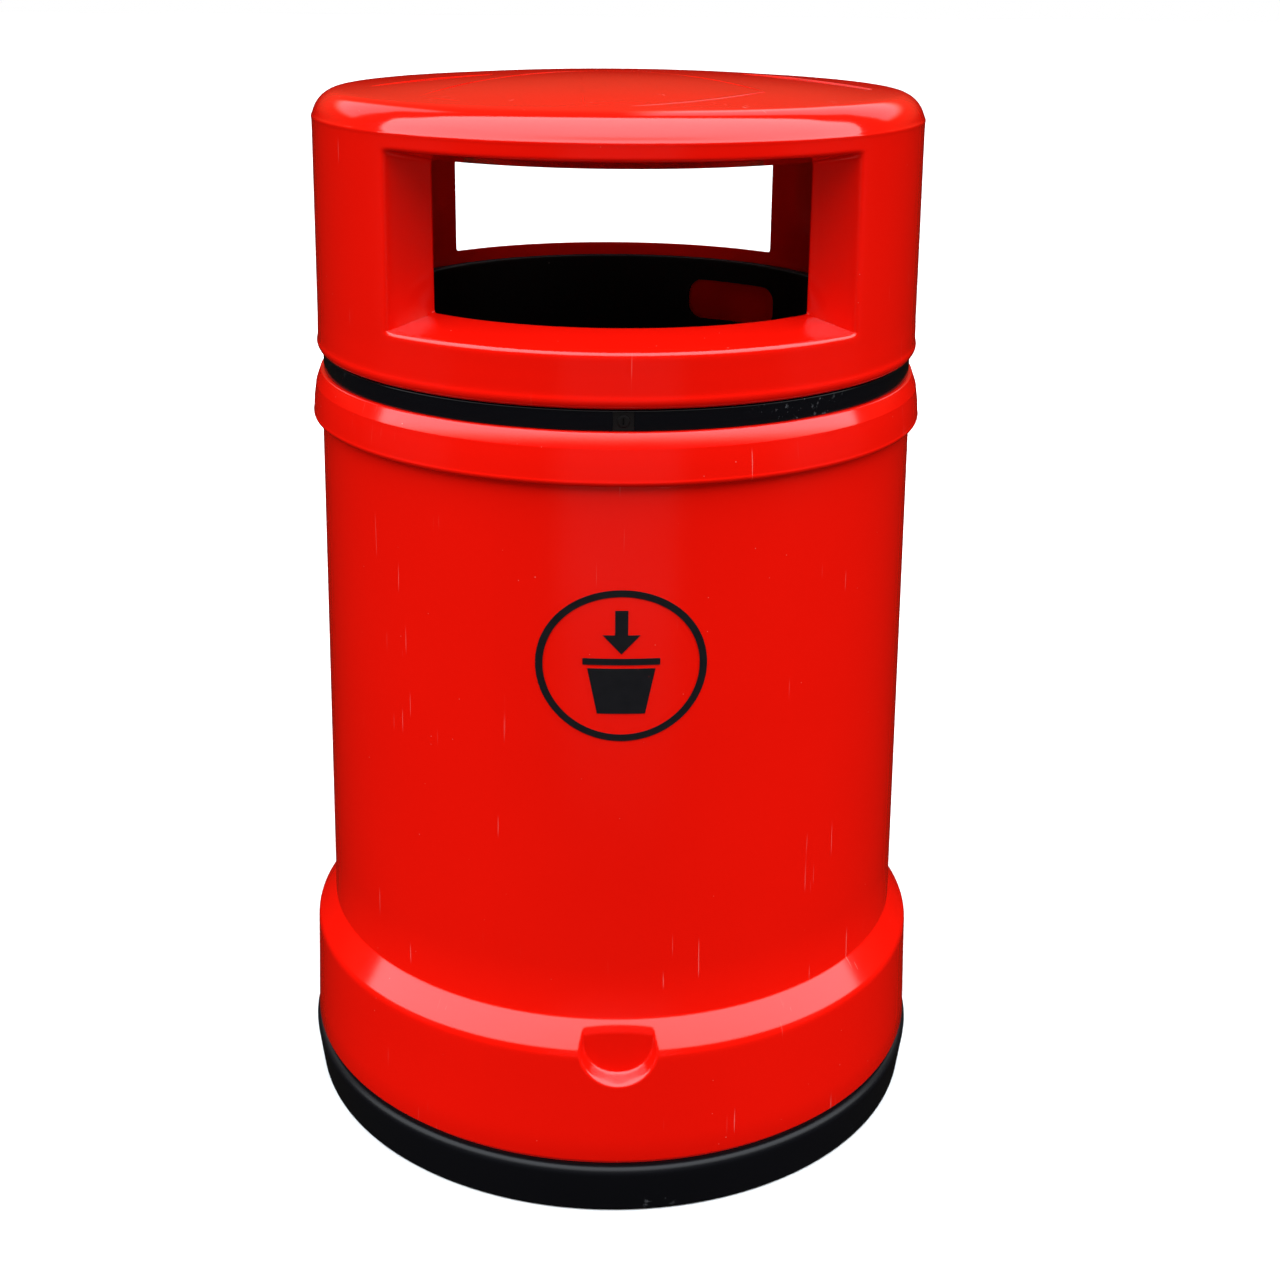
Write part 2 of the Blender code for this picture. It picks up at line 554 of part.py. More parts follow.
def wrapped(bm):
    """Bend flat badge work, drawn in X and Z with Y as its height, round the front of the body."""
    for vert in bm.verts:
        height = vert.co.z
        radius = body_radius(height) + 0.0004 + vert.co.y
        angle = vert.co.x / body_radius(BADGE_Z)
        vert.co = (radius * math.sin(angle), -radius * math.cos(angle), height)
    return bm


def make_badge(ink):
    """A ring round an open bin with an arrow pointing into it."""
    half_width, half_height = BADGE_HALF
    band = [(half_height - BADGE_LINE, 0), (half_height, 0),
            (half_height, BADGE_THICK), (half_height - BADGE_LINE, BADGE_THICK)]
    ring = turned(band, 32)
    upright = Matrix.Translation((0, 0, BADGE_Z)) @ Matrix.Rotation(math.radians(-90), 4, "X")
    oval = Matrix.Diagonal((half_width / half_height, 1, 1, 1))
    bmesh.ops.transform(ring, matrix=upright @ oval, verts=ring.verts)
    add_piece("badge_ring", wrapped(ring), ink)

    shapes = {"badge_bin": [(-0.0290, -0.0020), (-0.0205, -0.0430), (0.0205, -0.0430), (0.0290, -0.0020)],
              "badge_bin_rim": [(-0.0330, 0.0070), (-0.0330, 0.0012), (0.0330, 0.0012), (0.0330, 0.0070)],
              "badge_arrow": [(-0.0055, 0.0500), (-0.0055, 0.0280), (-0.0160, 0.0280), (0.0, 0.0110),
                              (0.0160, 0.0280), (0.0055, 0.0280), (0.0055, 0.0500)]}
    for name, shape in shapes.items():
        flat = extruded([(x, BADGE_Z + z) for x, z in shape], 0.0, BADGE_THICK, "Y")
        for step in range(-3, 4):
            parts = flat.verts[:] + flat.edges[:] + flat.faces[:]
            bmesh.ops.bisect_plane(flat, geom=parts, plane_co=(0.009 * step, 0, 0), plane_no=(1, 0, 0))
        add_piece(name, wrapped(flat), ink)


# ---------------------------------------------------------------- the whole bin
def main():
    clear_scene()
    red = plastic("red_plastic", (0.78, 0.012, 0.004), 0.28)
    black = plastic("black_plastic", (0.008, 0.008, 0.010), 0.42)
    liner_black = plastic("liner_plastic", (0.010, 0.009, 0.009), 0.55)
    concrete = plastic("concrete", (0.34, 0.33, 0.31), 0.9)
    steel = plastic("zinc_steel", (0.55, 0.56, 0.58), 0.35, 1.0)
    ink = plastic("badge_ink", (0.006, 0.006, 0.007), 0.40)

    hood_pivot = add_pivot("hood_pivot", (0, HINGE_Y, HINGE_Z))
    lock_pivot = add_pivot("lock_pivot", (0, LOCK_BACK_Y, LOCK_Z))
    liner_guide = add_pivot("liner_guide", (0, 0, LINER_BOTTOM))

    base, ballast = make_base(black, concrete)
    body = make_body(red)
    make_bolts(steel, base, ballast, body)
    neck = make_neck(black, steel, body)
    hood = make_hood(red, hood_pivot)
    make_liner(liner_black, liner_guide)
    make_hinge(steel, body, hood, hood_pivot)
    make_lock(black, steel, neck, hood, hood_pivot, lock_pivot)
    make_badge(ink)


main()
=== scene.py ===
"""The finished look of the hooded litter bin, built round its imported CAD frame.

Units are metres and +Z is up. The bin stands on the floor with its front, where the badge and
the lock are, facing -Y. Angles called "turn" are degrees from the front, towards +X.
"""
import math

import bmesh
import bpy
from mathutils import Matrix, Vector


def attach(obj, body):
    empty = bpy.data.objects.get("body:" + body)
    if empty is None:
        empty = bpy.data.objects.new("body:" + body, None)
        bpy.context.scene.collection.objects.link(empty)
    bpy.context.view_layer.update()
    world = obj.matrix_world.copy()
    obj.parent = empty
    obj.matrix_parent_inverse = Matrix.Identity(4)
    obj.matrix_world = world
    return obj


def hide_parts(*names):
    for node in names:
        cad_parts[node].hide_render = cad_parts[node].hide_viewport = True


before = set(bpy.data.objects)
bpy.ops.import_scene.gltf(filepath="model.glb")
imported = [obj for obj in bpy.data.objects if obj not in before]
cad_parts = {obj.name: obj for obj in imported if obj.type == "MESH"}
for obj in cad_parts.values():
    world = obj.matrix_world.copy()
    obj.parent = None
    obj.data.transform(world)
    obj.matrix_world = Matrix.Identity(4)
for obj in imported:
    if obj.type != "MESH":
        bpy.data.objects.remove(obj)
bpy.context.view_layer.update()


# ---------------------------------------------------------------- finishes
class Value:
    """A shader socket; an expression on values adds its Math nodes."""

    def __init__(self, finish, socket):
        self.finish = finish
        self.socket = socket

    def maths(self, operation, *others):
        inputs = dict(enumerate((self, *others)))
        return self.finish.node("Math", {"operation": operation}, inputs)

    def flipped(self, operation, other):
        return self.finish.node("Math", {"operation": operation}, {0: other, 1: self})

    def __add__(self, other):
        return self.maths("ADD", other)

    def __sub__(self, other):
        return self.maths("SUBTRACT", other)

    def __mul__(self, other):
        return self.maths("MULTIPLY", other)

    def __rsub__(self, other):
        return self.flipped("SUBTRACT", other)

    __radd__ = __add__
    __rmul__ = __mul__

    def over(self, edge, softness):
        """1 where the value is above the edge, 0 below it, with a soft step between."""
        settings = {"interpolation_type": "SMOOTHSTEP"}
        inputs = {"Value": self, "From Min": edge - softness, "From Max": edge + softness}
        return self.finish.node("MapRange", settings, inputs)

    def under(self, edge, softness):
        return 1 - self.over(edge, softness)

    def span(self, low, high):
        """Spreads a 0 to 1 value over another range."""
        return self * (high - low) + low


class Nodes:
    """A node tree with one method for every kind of node."""

    def __init__(self, tree, output="Object"):
        self.tree = tree
        self.place = self.node("TexCoord", output=output)

    def node(self, kind, settings=None, inputs=None, output=0):
        made = self.tree.nodes.new("ShaderNode" + kind)
        for key, setting in (settings or {}).items():
            setattr(made, key, setting)
        for key, fed in (inputs or {}).items():
            self.feed(made.inputs[key], fed)
        return Value(self, made.outputs[output])

    def feed(self, socket, fed):
        if isinstance(fed, Value):
            self.tree.links.new(fed.socket, socket)
        elif socket.type == "RGBA":
            socket.default_value = (*fed, 1)
        else:
            socket.default_value = fed

    def noise(self, scale, detail=2.0, roughness=0.5, place=None):
        inputs = {"Vector": place or self.place, "Scale": scale, "Detail": detail,
                  "Roughness": roughness}
        return self.node("TexNoise", None, inputs)

    def cells(self, scale, output="Distance"):
        return self.node("TexVoronoi", None, {"Vector": self.place, "Scale": scale}, output)

    def mapped(self, scale, turn, place):
        """A place stretched by a scale, then turned."""
        return self.node("Mapping", None, {"Vector": place, "Scale": scale, "Rotation": turn})

    def mix(self, share, below, above):
        """Lays one colour over another by a share."""
        return self.node("Mix", {"data_type": "RGBA"}, {0: share, 6: below, 7: above}, 2)

    def relief(self, height, depth):
        """Normals from a height value of 0 to 1, where 1 stands depth metres high."""
        inputs = {"Height": height, "Distance": depth, "Strength": 1.0}
        return self.node("Bump", None, inputs)

    def part(self, axis, place=None):
        """One coordinate of a place."""
        return self.node("SeparateXYZ", None, {0: place or self.place}, axis)


class Finish(Nodes):
    """One material whose pattern is fixed to the object, in metres."""

    def __init__(self, name):
        self.material = bpy.data.materials.new(name)
        self.material.use_nodes = True
        super().__init__(self.material.node_tree)
        self.shader = self.tree.nodes["Principled BSDF"]

    def set(self, **inputs):
        for name, fed in inputs.items():
            self.feed(self.shader.inputs[name.replace("_", " ")], fed)


WALL_RADIUS = 0.28         # mean radius of the hood and the body, which wall patterns wrap on


def wrapped_place(finish):
    """A place unrolled from the bin's wall: metres round from the front, metres up, and depth."""
    x, y, z = (finish.part(axis) for axis in "XYZ")
    out = (x * x + y * y).maths("SQRT")
    round_from_front = x.maths("ARCTAN2", y * -1)
    return finish.node("CombineXYZ", None, {0: round_from_front * WALL_RADIUS, 1: z, 2: out})


def specks(finish, scale, share, size):
    """Sparse small dots: cells of the given scale, of which only a share holds a dot."""
    near = finish.cells(scale)
    pick = finish.cells(scale, "Color")
    chosen = finish.part("X", pick).over(1 - share, 0.002)
    return near.under(size, size * 0.5) * chosen


RED_FRESH = (0.780, 0.0052, 0.0016)
RED_WORN = (0.745, 0.0046, 0.0013)
RED_CHALK = (0.82, 0.30, 0.26)             # dust and whitened scratches
SCRATCH_LEAN = math.radians(24)


def make_red(name, gloss):
    """Moulded red polyethylene; gloss is the share of polish from 0 to 1."""
    finish = Finish(name)
    wall = wrapped_place(finish)
    mottle = finish.noise(9.0, 3.0)
    dust = specks(finish, 70.0, 0.10, 0.035) + specks(finish, 150.0, 0.04, 0.06)
    slant = finish.mapped((420.0, 9.0, 60.0), (0, 0, SCRATCH_LEAN), wall)
    scratch = finish.noise(1.0, 1.0, place=slant).over(0.74, 0.02)
    scratch = scratch * finish.noise(13.0, 1.0).over(0.60, 0.05)
    marks = (dust * 0.45 + scratch * 0.30).maths("MINIMUM", 1.0)
    colour = finish.mix(mottle, RED_FRESH, RED_WORN)
    colour = finish.mix(marks, colour, RED_CHALK)
    roughness = finish.noise(14.0, 3.0).span(0.10, 0.16) - gloss * 0.03 + marks * 0.2
    relief = finish.relief(finish.noise(60.0, 3.0), 0.00002)
    finish.set(Base_Color=colour, Roughness=roughness, Normal=relief)
    finish.set(IOR=1.45, Specular_IOR_Level=0.75)
    return finish.material


BLACK = (0.0038, 0.0038, 0.0050)
BLACK_SCUFFED = (0.26, 0.27, 0.29)
SCUFF_HEIGHT = 0.012       # the foot is scuffed below this height


def make_black(name, polish, foot=False):
    """Moulded black plastic with pale scuffs: thin all over, or full along a foot's lower edge."""
    finish = Finish(name)
    cloud = finish.noise(7.0, 3.0)
    share = finish.part("Z").under(SCUFF_HEIGHT, 0.010) if foot else 0.3
    scuff = specks(finish, 130.0, 0.30, 0.08) * cloud.over(0.56, 0.06) * share
    scuff = scuff + finish.noise(140.0, 4.0, 0.7).over(0.62, 0.03) * cloud.over(0.60, 0.04) * share
    scuff = scuff.maths("MINIMUM", 1.0)
    colour = finish.mix(scuff * 0.6, BLACK, BLACK_SCUFFED)
    roughness = finish.noise(22.0, 3.0).span(polish, polish + 0.10) + scuff * 0.3
    relief = finish.relief(finish.noise(500.0, 2.0), 0.00004)
    finish.set(Base_Color=colour, Roughness=roughness, Normal=relief)
    finish.set(Specular_IOR_Level=0.25)
    return finish.material


def make_liner_black():
    """Matt black of the liner and the lock, rubbed in places."""
    finish = Finish("liner_moulding")
    cloud = finish.noise(5.0, 4.0)
    rubbed = specks(finish, 45.0, 0.12, 0.05)
    colour = finish.mix(cloud, (0.0035, 0.0030, 0.0030), (0.0075, 0.0065, 0.0065))
    colour = finish.mix(rubbed * 0.4, colour, (0.10, 0.09, 0.09))
    relief = finish.relief(finish.noise(180.0, 3.0), 0.00012)
    finish.set(Base_Color=colour, Roughness=cloud.span(0.45, 0.62), Normal=relief)
    finish.set(Specular_IOR_Level=0.15)
    return finish.material


def make_zinc():
    """Bright zinc plate with its faint crystal bloom."""
    finish = Finish("zinc_plate")
    bloom = finish.part("X", finish.cells(260.0, "Color"))
    dull = finish.noise(90.0, 3.0)
    colour = finish.mix(dull, (0.60, 0.61, 0.62), (0.40, 0.41, 0.42))
    relief = finish.relief(finish.noise(900.0, 2.0), 0.00002)
    finish.set(Base_Color=colour, Roughness=bloom.span(0.24, 0.36) + dull * 0.10, Normal=relief)
    finish.set(Metallic=1.0)
    return finish.material


def make_concrete():
    """Cast concrete with sand and open pores, the pores painted darker as painted shade."""
    finish = Finish("cast_concrete")
    sand = finish.noise(160.0, 5.0, 0.65)
    pores = finish.cells(140.0).under(0.16, 0.05) * finish.noise(30.0).over(0.5, 0.1)
    colour = finish.mix(sand, (0.30, 0.29, 0.27), (0.44, 0.43, 0.40))
    # painted shade: the open pores are painted darker, in place of the shade that falls inside them
    colour = finish.mix(pores * 0.7, colour, (0.10, 0.10, 0.09))
    relief = finish.relief(sand * 0.6 - pores, 0.0008)
    finish.set(Base_Color=colour, Roughness=sand.span(0.82, 0.96), Normal=relief)
    return finish.material


def make_ink():
    """Printed black film on the body."""
    finish = Finish("badge_film")
    worn = specks(finish, 210.0, 0.06, 0.12)
    cloud = finish.noise(120.0, 3.0)
    colour = finish.mix(cloud, (0.0045, 0.0045, 0.0060), (0.0085, 0.0080, 0.0095))
    colour = finish.mix(worn * 0.4, colour, (0.22, 0.03, 0.03))
    relief = finish.relief(cloud, 0.00003)
    finish.set(Base_Color=colour, Roughness=cloud.span(0.30, 0.44), Normal=relief)
    return finish.material


# ---------------------------------------------------------------- shaping
CREASE = 40                # faces that meet at more degrees than this keep a sharp edge
CUT_CREASE = 35            # the same for a piece that has been cut
MERGE = 2e-6
SLIVER = 1e-6


def ring_arc(centre, radius, start, end, steps):
    """Points of an arc in the (radius, height) plane; angles in degrees, 0 outwards, 90 up."""
    points = []
    for step in range(steps + 1):
        angle = math.radians(start + (end - start) * step / steps)
        points.append((centre[0] + radius * math.cos(angle), centre[1] + radius * math.sin(angle)))
    return points


def between(start, end, share):
    """The point that is a share of the way from the start to the end."""
    return tuple(a + (b - a) * share for a, b in zip(start, end))


def filled(points, spacing):
    """The same line with further points so that no step is longer than the spacing."""
    line = [points[0]]
    for start, end in zip(points, points[1:]):
        count = max(1, math.ceil(math.dist(start, end) / spacing))
        line += [between(start, end, step / count) for step in range(1, count + 1)]
    return line


def carried(bm, line, turns):
    """Carries a line of (radius, height) points round the axis, with a stop at each turn."""
    start = Matrix.Rotation(math.radians(turns[0] - 90), 4, "Z")
    verts = [bm.verts.new(start @ Vector((radius, 0, height))) for radius, height in line]
    geom = verts + [bm.edges.new(pair) for pair in zip(verts, verts[1:])]
    for here, there in zip(turns, turns[1:]):
        step = math.radians(there - here)
        made = bmesh.ops.spin(bm, geom=geom, cent=(0, 0, 0), axis=(0, 0, 1), angle=step, steps=1)
        geom = made["geom_last"]
    return geom


def turned(line, steps):
    """A full turn of a (radius, height) line."""
    bm = bmesh.new()
    verts = [bm.verts.new((radius, 0, height)) for radius, height in line]
    geom = verts + [bm.edges.new(pair) for pair in zip(verts, verts[1:])]
    bmesh.ops.spin(bm, geom=geom, cent=(0, 0, 0), axis=(0, 0, 1), angle=math.tau, steps=steps,
                   use_merge=True)
    return bm


def joined(bm):
    """Closes seams and poles, clears what they leave, and points every face outwards."""
    bmesh.ops.remove_doubles(bm, verts=bm.verts, dist=MERGE)
    bmesh.ops.dissolve_degenerate(bm, edges=bm.edges, dist=SLIVER)
    loose = [edge for edge in bm.edges if edge.is_wire]
    bmesh.ops.delete(bm, geom=loose, context="EDGES")
    bmesh.ops.recalc_face_normals(bm, faces=bm.faces)
    if bm.calc_volume(signed=True) < 0:
        bmesh.ops.reverse_faces(bm, faces=bm.faces)
    return bm


def placed(name, bm, finish=None):
    """A named object from a bmesh, smooth except where its faces meet at a sharp angle."""
    joined(bm)
    mesh = bpy.data.meshes.new(name)
    bm.to_mesh(mesh)
    bm.free()
    mesh.shade_smooth()
    mesh.set_sharp_from_angle(angle=math.radians(CREASE))
    if finish:
        mesh.materials.append(finish)
    piece = bpy.data.objects.new(name, mesh)
    bpy.context.scene.collection.objects.link(piece)
    return piece


def settled(piece, crease):
    """Applies a piece's modifiers to its mesh."""
    depsgraph = bpy.context.evaluated_depsgraph_get()
    shaped = bpy.data.meshes.new_from_object(piece.evaluated_get(depsgraph))
    piece.modifiers.clear()
    piece.data = shaped
    shaped.set_sharp_from_angle(angle=math.radians(crease))
    return piece


def rounded(piece, levels):
    """Rounds a coarse piece by subdivision."""
    smooth = piece.modifiers.new("rounded", "SUBSURF")
    smooth.levels = levels
    smooth.render_levels = levels
    return settled(piece, CREASE)


def carved(piece, *cutters):
    """Cuts shapes, given as bmeshes, out of a piece."""
    tools = []
    for index, cutter in enumerate(cutters):
        tool = placed(f"{piece.name}_cut_{index}", cutter)
        cut = piece.modifiers.new(tool.name, "BOOLEAN")
        cut.solver = "EXACT"
        cut.operation = "DIFFERENCE"
        cut.object = tool
        tools.append(tool)
    settled(piece, CUT_CREASE)
    for tool in tools:
        bpy.data.objects.remove(tool)
    return piece


def block(low, high, edge):
    """A box with its edges rounded."""
    bm = bmesh.new()
    bmesh.ops.create_cube(bm, size=1.0)
    size = Vector(high) - Vector(low)
    middle = (Vector(high) + Vector(low)) / 2
    place = Matrix.Translation(middle) @ Matrix.Diagonal((*size, 1))
    bmesh.ops.transform(bm, matrix=place, verts=bm.verts)
    bmesh.ops.bevel(bm, geom=bm.edges[:], offset=edge, affect="EDGES", segments=2,
                    profile=0.5, material=-1)
    return bm


def prism(outline, depth):
    """A flat outline in X and Z, carried along +Y by depth."""
    bm = bmesh.new()
    face = bm.faces.new([bm.verts.new((x, 0, z)) for x, z in outline])
    grown = bmesh.ops.extrude_face_region(bm, geom=[face])
    moved = [item for item in grown["geom"] if isinstance(item, bmesh.types.BMVert)]
    bmesh.ops.translate(bm, vec=(0, depth, 0), verts=moved)
    return bm


def rounded_outline(width, height, radius):
    """A rounded rectangle about the origin."""
    outline = []
    for along, up, start in ((1, 1, 0), (-1, 1, 90), (-1, -1, 180), (1, -1, 270)):
        centre = (along * (width / 2 - radius), up * (height / 2 - radius))
        outline += ring_arc(centre, radius, start, start + 90, 8)
    return outline


# ---------------------------------------------------------------- the hood
CHAMBER = 0.2320                                   # radius of the hood's inner wall
SILL = ((0.28197, 0.7988), (CHAMBER, 0.8098))      # outer and inner edge, (radius, height)
LINTEL = ((0.28058, 0.9505), (CHAMBER, 0.9391))
WALL_DEPTH = 0.0500
APERTURE = 44.2                                    # half its width, in degrees
INSIDE_STOP = 1.7                                  # stops beside each jamb, in degrees
COLUMN_STOP = 2.2
COLUMN = 49.5                                      # where a column's even stops begin
JAMB_REACH = 5                                     # degrees either side of a jamb that shift with it
JAMB_FLARE = 1.5                                   # degrees that it opens out by at the outer face
FRONT_NARROWED, REAR_NARROWED = 0.8, 0.1           # degrees that it closes in by all through
SOFT_OUTSIDE, SOFT_INSIDE = 1.2, 0.7               # degrees that soften its corners
CROWN = ((0, 1.0), (0.0828, 0.9987), (0.1655, 0.9949), (0.2300, 0.9896))
CROWN_EDGE = (0.2480, 0.9868)
RIB_HEIGHT = 0.00022                               # of the raised lines on the crown
BAR_HEIGHT = 0.00020
SEAT_HALF = 0.031                                  # half the width of a hinge bracket's flat
SEAT_EDGE = 0.0012


def hood_wall(height):
    """Outer radius of the hood's wall."""
    return 0.2821 - 0.0016 * (height - 0.7810) / 0.1783


def hood_turns():
    """Stops round the hood, closer together beside the jambs; the first and last are one."""
    quarter = [3.60 * i for i in range(11)]
    quarter += [APERTURE - INSIDE_STOP, APERTURE, APERTURE + COLUMN_STOP, COLUMN]
    quarter += [COLUMN + (90 - COLUMN) * i / 11 for i in range(1, 11)]
    half = quarter + [90.0] + [180 - turn for turn in reversed(quarter)]
    return half[:-1] + [180.0] + [360 - turn for turn in reversed(half[:-1])]


def flare(bm):
    """Widens the apertures outwards and opens up their rounding towards the outer face."""
    for vert in bm.verts:
        radius = vert.co.xy.length
        turn = math.degrees(math.atan2(abs(vert.co.x), abs(vert.co.y)))
        past = turn - APERTURE
        out = max(0.0, min(1.0, (radius - CHAMBER) / WALL_DEPTH))
        narrowed = FRONT_NARROWED if vert.co.y < 0 else REAR_NARROWED
        shift = max(0.0, 1 - abs(past) / JAMB_REACH) * (JAMB_FLARE * out - narrowed)
        if abs(past + INSIDE_STOP) < 0.2:
            shift += SOFT_INSIDE - SOFT_OUTSIDE * out
        if abs(past - COLUMN_STOP) < 0.2:
            shift -= SOFT_OUTSIDE * (1 - out)
        side = math.copysign(1, -vert.co.x * vert.co.y)
        vert.co.xy = Matrix.Rotation(side * math.radians(shift), 2) @ vert.co.xy


def make_hood(finish):
    """The double-walled hood, as a coarse closed cage that is then rounded."""
    turns = hood_turns()
    corners = [APERTURE, 180 - APERTURE, 180 + APERTURE, 360 - APERTURE]

    def stretch(low, high):
        return [turn for turn in turns if low - 1e-6 <= turn <= high + 1e-6]

    columns = [stretch(corners[0], corners[1]), stretch(corners[2], corners[3])]
    rear = stretch(corners[1], corners[2])
    front = [turn - 360 for turn in stretch(corners[3], 360)] + stretch(0, corners[0])[1:]
    apertures = [front, rear]

    bm = bmesh.new()
    # cap: outer skin from the lintel up to the crown, then the ceiling down to the lintel
    skin = [LINTEL[0], (hood_wall(0.9545), 0.9545), (0.28062, 0.9605), (0.28075, 0.9622)]
    skin += [(0.28092, 0.9632), (0.28090, 0.9642), (0.28062, 0.9652)]
    skin += ring_arc((0.2528, 0.9603), 0.0278, 12, 80, 6)
    skin += [*reversed(CROWN[1:]), (0.0300, 0.9998), CROWN[0]]
    ceiling = [LINTEL[1], (CHAMBER, 0.9430), (CHAMBER, 0.9600), (0.2300, 0.9700), (0.2180, 0.9800)]
    ceiling += [(0.1500, 0.9890), (0.0700, 0.9935), (0, 0.9945)]
    carried(bm, skin, turns)
    carried(bm, ceiling, turns)
    # lower ring: outer skin from the sill down to the lip, the channel, and the inner skirt
    ring = [SILL[0], (hood_wall(0.7900), 0.7900), (0.2821, 0.7820), (0.2825, 0.7740)]
    ring += ring_arc((0.2757, 0.7590), 0.0080, 30, -80, 7) + [(0.2766, 0.7509), (0.2765, 0.7540)]
    ring += [(0.2765, 0.7840), (0.2765, 0.7880), (0.2730, 0.7880), (0.2410, 0.7880)]
    ring += [(0.2370, 0.7880), (0.2370, 0.7840), (0.2370, 0.7260), (0.2366, 0.7222)]
    ring += [(0.2345, 0.7214), (0.2324, 0.7222), (CHAMBER, 0.7260), (CHAMBER, 0.7600)]
    ring += [(CHAMBER, 0.8058), SILL[1]]
    carried(bm, ring, turns)
    # columns: outer and inner wall, with the same rows
    outer_rows = (0.0, 0.07, 0.27, 0.54, 0.80, 0.95, 1.0)
    inner_rows = (0.0, 0.04, 0.25, 0.54, 0.80, 0.97, 1.0)
    outer = [between(SILL[0], LINTEL[0], share) for share in outer_rows]
    outer = [(hood_wall(height), height) for radius, height in outer]
    inner = [between(SILL[1], LINTEL[1], share) for share in inner_rows]
    depth = [0.0, 0.15, 0.55, 0.95, 1.0]
    for stops in columns:
        carried(bm, outer, stops)
        carried(bm, inner, stops)
    for stops in apertures:
        for edge in (SILL, LINTEL):
            carried(bm, [between(edge[0], edge[1], share) for share in depth], stops)
    # jambs: a grid between each wall's two upright edges
    for turn in corners:
        for low, high in zip(depth, depth[1:]):
            near = [between(a, b, low) for a, b in zip(outer, inner)]
            far = [between(a, b, high) for a, b in zip(outer, inner)]
            start = Matrix.Rotation(math.radians(turn - 90), 4, "Z")
            verts = [bm.verts.new(start @ Vector((radius, 0, height))) for radius, height in near]
            edges = [bm.edges.new(pair) for pair in zip(verts, verts[1:])]
            grown = bmesh.ops.extrude_edge_only(bm, edges=edges)
            moved = [item for item in grown["geom"] if isinstance(item, bmesh.types.BMVert)]
            for vert in moved:
                row = min(range(len(near)), key=lambda i: abs(near[i][1] - vert.co.z))
                vert.co = start @ Vector((far[row][0], 0, far[row][1]))
    flare(bm)
    hood = rounded(placed("hood_moulding", bm, finish), 2)
    seat = block((-SEAT_HALF, 0.2800, 0.7400), (SEAT_HALF, 0.3200, 0.7920), SEAT_EDGE)
    carved(hood, seat)
    return hood


def make_top_lines(finish):
    """The faint raised lines on the crown: two long arcs that meet in points, a bar, side ribs."""
    bm = bmesh.new()
    section = ((-0.5, -0.6), (-0.5, 0.3), (-0.25, 1.0), (0.25, 1.0), (0.5, 0.3), (0.5, -0.6))

    def crown(radius):
        """Height of the crown at a radius."""
        knots = [*CROWN, CROWN_EDGE]
        for (r0, z0), (r1, z1) in zip(knots, knots[1:]):
            if radius <= r1:
                return z0 + (z1 - z0) * (radius - r0) / (r1 - r0)
        return CROWN_EDGE[1]

    def strip(points, width, height):
        """A low rib along a line of (x, y) points, thinner at its ends."""
        loops = []
        for index, (x, y) in enumerate(points):
            before = Vector(points[max(index - 1, 0)])
            after = Vector(points[min(index + 1, len(points) - 1)])
            along = (after - before).normalized()
            side = Vector((-along.y, along.x))
            taper = min(1.0, 0.25 + 0.25 * min(index, len(points) - 1 - index))
            loop = []
            for across, up in section:
                spot = Vector((x, y)) + side * across * width * taper
                top = crown(spot.length) + up * height * taper
                loop.append(bm.verts.new((spot.x, spot.y, top)))
            loops.append([bm.edges.new((a, b)) for a, b in zip(loop, loop[1:] + loop[:1])])
        for first, second in zip(loops, loops[1:]):
            bmesh.ops.bridge_loops(bm, edges=first + second)
        for ends in (loops[0], loops[-1]):
            bmesh.ops.contextual_create(bm, geom=ends)

    def bow(start, middle, end):
        """Points of the curve through three places."""
        points = []
        for step in range(41):
            t = step / 40
            a, b, c = (1 - t) * (1 - 2 * t), 4 * t * (1 - t), t * (2 * t - 1)
            points.append(tuple(a * p + b * q + c * r for p, q, r in zip(start, middle, end)))
        return points

    left, right = (-0.172, -0.151), (0.122, -0.130)
    strip(bow(left, (-0.020, -0.236), right), 0.0022, RIB_HEIGHT)
    strip(bow(left, (-0.020, 0.044), right), 0.0022, RIB_HEIGHT)
    strip(bow((-0.035, -0.017), (-0.034, -0.126), (-0.033, -0.234)), 0.0020, BAR_HEIGHT)
    for ends in (((-0.224, -0.041), (-0.117, 0.023)), ((0.120, 0.065), (0.236, -0.046))):
        middle = (Vector(ends[0]) + Vector(ends[1])) / 2
        for lift in (1.0, 1.1):
            strip(bow(ends[0], middle * lift, ends[1]), 0.0018, RIB_HEIGHT)
    return placed("hood_top_lines", bm, finish)


# ---------------------------------------------------------------- the body
SKIN = 0.0045              # distance between the skirt's two skins
NOTCH_BACK = -0.2920       # Y of the notch's flat back
NOTCH_CENTRE = 0.1697      # height of its round's centre
NOTCH_RADIUS = 0.0315
NOTCH_DRAFT = 2.29         # how steeply its side comes forward


def softer(a, b, reach):
    """The smaller of two numbers, with the corner between them rounded off."""
    share = max(0.0, min(1.0, 0.5 + 0.5 * (b - a) / reach))
    return b + (a - b) * share - reach * share * (1 - share)


def press_notch(bm):
    """Presses the half-round recess into the front of the skirt, through both skins."""
    for vert in bm.verts:
        x, y, z = vert.co
        if y > -0.27 or abs(x) > 0.07 or not 0.10 < z < 0.21:
            continue
        reach = abs(x) if z > NOTCH_CENTRE else math.hypot(x, z - NOTCH_CENTRE)
        side = NOTCH_BACK - (reach - NOTCH_RADIUS) * NOTCH_DRAFT
        pressed = softer(NOTCH_BACK, side, 0.0022)
        inside = SKIN if vert.co.xy.length < skirt_radius(z) - SKIN / 2 else 0.0
        vert.co.y = -softer(-y, -pressed - inside, 0.0030)


def skirt_radius(height):
    """Outer radius of the skirt and the ledge."""
    if height < 0.1585:
        return 0.3080 - 0.00335 * (height - 0.0562) / 0.1023
    return min(0.3046, 0.3021 - (height - 0.1667) * 0.677)


